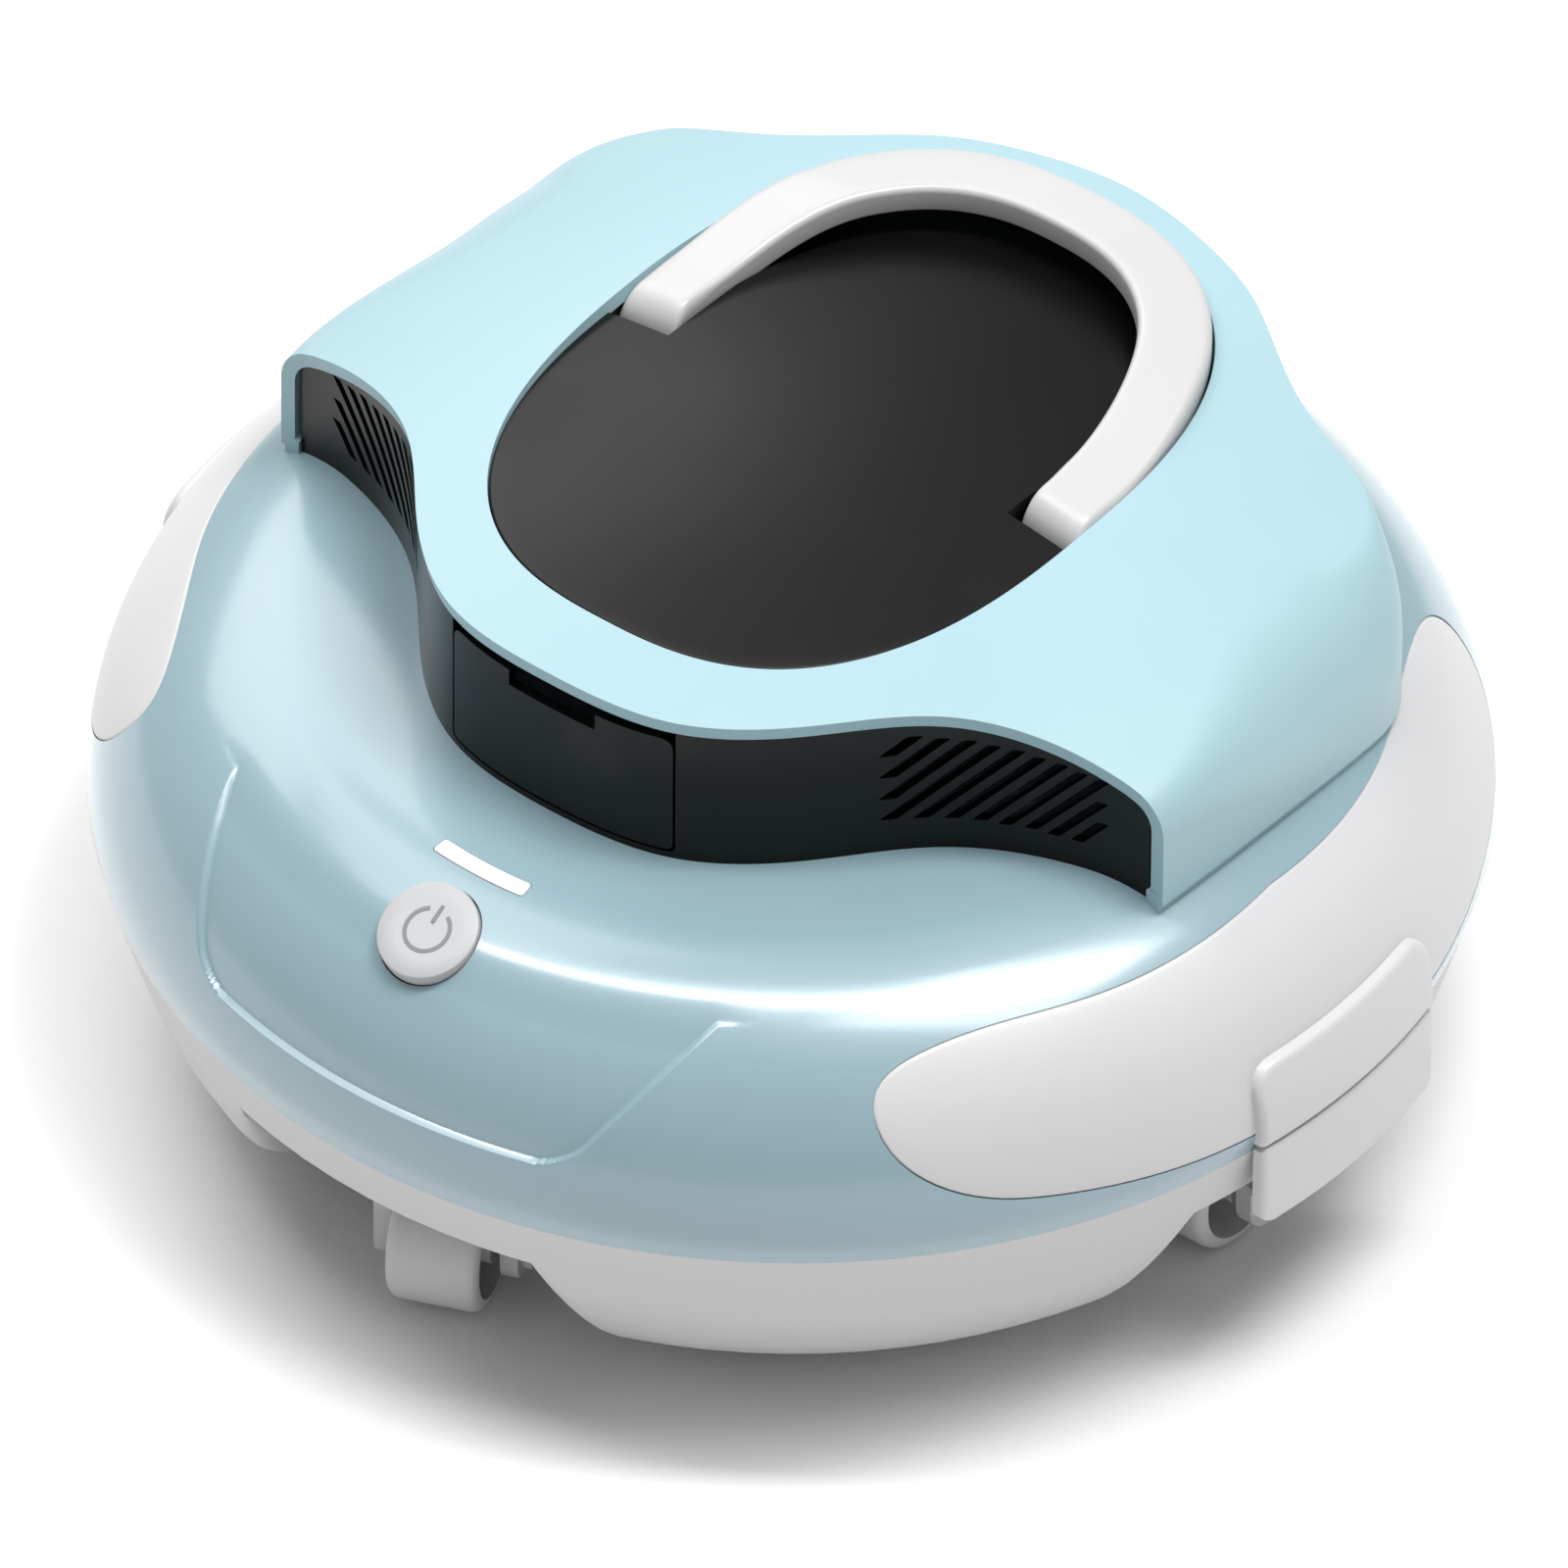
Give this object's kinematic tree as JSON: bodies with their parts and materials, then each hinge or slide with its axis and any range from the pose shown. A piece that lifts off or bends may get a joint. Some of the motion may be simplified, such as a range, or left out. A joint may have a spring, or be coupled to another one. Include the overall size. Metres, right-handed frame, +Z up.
{
  "type": "robotic pool cleaner",
  "caption": "Round cordless pool-cleaning robot with a domed shell, raised hood over jet outlets, carrying handle, side latches and steering wheels.",
  "frame": {"origin": "on the floor, under the middle of the round body", "axes": "+Z up; the front, with the power button, faces -Y; +X is to the right seen from above with the front at the bottom"},
  "size_m": [0.3868, 0.3798, 0.2018],
  "materials": {
    "dome_blue": "gloss painted ABS",
    "hood_blue": "satin moulded ABS",
    "shell_white": "semi-gloss white ABS",
    "handle_white": "satin white ABS",
    "tray_white": "satin off-white ABS",
    "bracket_grey": "fine-textured grey nylon",
    "wheel_grey": "smooth soft tread",
    "vent_black": "satin black ABS",
    "window_black": "smoked polycarbonate",
    "button_grey": "satin light-grey keycap",
    "light_white": "translucent light guide",
    "dark_plastic": "moulded black nylon",
    "seal_rubber": "silicone rubber",
    "steel": "stainless steel",
    "motor_metal": "coated can",
    "battery_wrap": "shrink wrap",
    "board_green": "solder mask",
    "mesh_grey": "filter mesh"
  },
  "bodies": {
    "chassis": {"upper_shell": "dome_blue", "hood": "hood_blue", "side_panel_right": "shell_white", "side_panel_left": "shell_white", "latch_catch_right": "shell_white", "latch_catch_left": "shell_white", "base_tray": "tray_white", "right_bracket": "bracket_grey", "left_bracket": "bracket_grey", "vent_band_front": "vent_black", "vent_band_rear": "vent_black", "window_panel": "window_black", "window_frame": "dark_plastic", "handle_well_right": "dark_plastic", "handle_well_left": "dark_plastic", "button_switch": "dark_plastic", "light_bar": "light_white", "charge_socket": "dark_plastic", "charge_cap": "seal_rubber", "body_seal": "seal_rubber", "latch_pin_right": "steel", "latch_pin_left": "steel", "base_screws": "steel", "right_axle": "steel", "left_axle": "steel", "filter_basket": "dark_plastic", "filter_screen": "mesh_grey", "pump_motor": "motor_metal", "pump_housing": "dark_plastic", "motor_mount": "dark_plastic", "battery_case": "dark_plastic", "battery_cells": "battery_wrap", "control_board": "board_green"},
    "carry_handle": {"carry_handle": "handle_white", "handle_pins": "steel"},
    "outlet_flap_front": {"outlet_flap_front": "vent_black"},
    "outlet_flap_rear": {"outlet_flap_rear": "vent_black"},
    "power_button": {"power_button": "button_grey"},
    "latch_right": {"latch_lever_right": "shell_white"},
    "latch_left": {"latch_lever_left": "shell_white"},
    "front_steer": {"front_bracket": "bracket_grey", "front_axle": "steel"},
    "rear_steer": {"rear_bracket": "bracket_grey", "rear_axle": "steel"},
    "front_wheel": {"front_wheel": "wheel_grey"},
    "rear_wheel": {"rear_wheel": "wheel_grey"},
    "right_wheel": {"right_wheel": "wheel_grey"},
    "left_wheel": {"left_wheel": "wheel_grey"},
    "pump_rotor": {"motor_shaft": "steel", "impeller": "dark_plastic"},
    "inlet_flap_front": {"inlet_flap_front": "seal_rubber"},
    "inlet_flap_rear": {"inlet_flap_rear": "seal_rubber"}
  },
  "joints": [
    {"name": "handle_lift", "type": "hinge", "parent": "chassis", "child": "carry_handle", "pos_m": [0, 0.031, 0.1845], "axis": [1, 0, 0], "range_deg": [0, 90]},
    {"name": "front_outlet_flap", "type": "hinge", "parent": "chassis", "child": "outlet_flap_front", "pos_m": [0, -0.098, 0.1805], "axis": [-1, 0, 0], "range_deg": [0, 45]},
    {"name": "rear_outlet_flap", "type": "hinge", "parent": "chassis", "child": "outlet_flap_rear", "pos_m": [0, 0.137, 0.1805], "axis": [1, 0, 0], "range_deg": [0, 45]},
    {"name": "button_press", "type": "slide", "parent": "chassis", "child": "power_button", "axis": [0, 0.454, -0.891], "range_m": [0, 0.0012], "stiffness_N_per_m": 900},
    {"name": "right_latch", "type": "hinge", "parent": "chassis", "child": "latch_right", "pos_m": [0.179, 0, 0.0525], "axis": [0, 1, 0], "range_deg": [0, 70]},
    {"name": "left_latch", "type": "hinge", "parent": "chassis", "child": "latch_left", "pos_m": [-0.179, 0, 0.0525], "axis": [0, -1, 0], "range_deg": [0, 70]},
    {"name": "front_steering", "type": "hinge", "parent": "chassis", "child": "front_steer", "pos_m": [0, -0.148, 0.06], "axis": [0, 0, 1], "range_deg": [-44, 0]},
    {"name": "rear_steering", "type": "hinge", "parent": "chassis", "child": "rear_steer", "pos_m": [0, 0.148, 0.06], "axis": [0, 0, 1], "range_deg": [-44, 0]},
    {"name": "front_wheel_spin", "type": "hinge", "parent": "front_steer", "child": "front_wheel", "pos_m": [0, -0.148, 0.02], "axis": [0.9272, 0.3746, 0], "continuous": true},
    {"name": "rear_wheel_spin", "type": "hinge", "parent": "rear_steer", "child": "rear_wheel", "pos_m": [0, 0.148, 0.02], "axis": [0.9272, 0.3746, 0], "continuous": true},
    {"name": "right_wheel_spin", "type": "hinge", "parent": "chassis", "child": "right_wheel", "pos_m": [0.142, 0, 0.02], "axis": [1, 0, 0], "continuous": true},
    {"name": "left_wheel_spin", "type": "hinge", "parent": "chassis", "child": "left_wheel", "pos_m": [-0.142, 0, 0.02], "axis": [1, 0, 0], "continuous": true},
    {"name": "pump_spin", "type": "hinge", "parent": "chassis", "child": "pump_rotor", "pos_m": [0, 0, 0.09], "axis": [0, 0, 1], "continuous": true},
    {"name": "front_inlet_flap", "type": "hinge", "parent": "chassis", "child": "inlet_flap_front", "pos_m": [0, -0.029, 0.017], "axis": [-1, 0, 0], "range_deg": [0, 55]},
    {"name": "rear_inlet_flap", "type": "hinge", "parent": "chassis", "child": "inlet_flap_rear", "pos_m": [0, 0.029, 0.017], "axis": [1, 0, 0], "range_deg": [0, 55]}
  ]
}
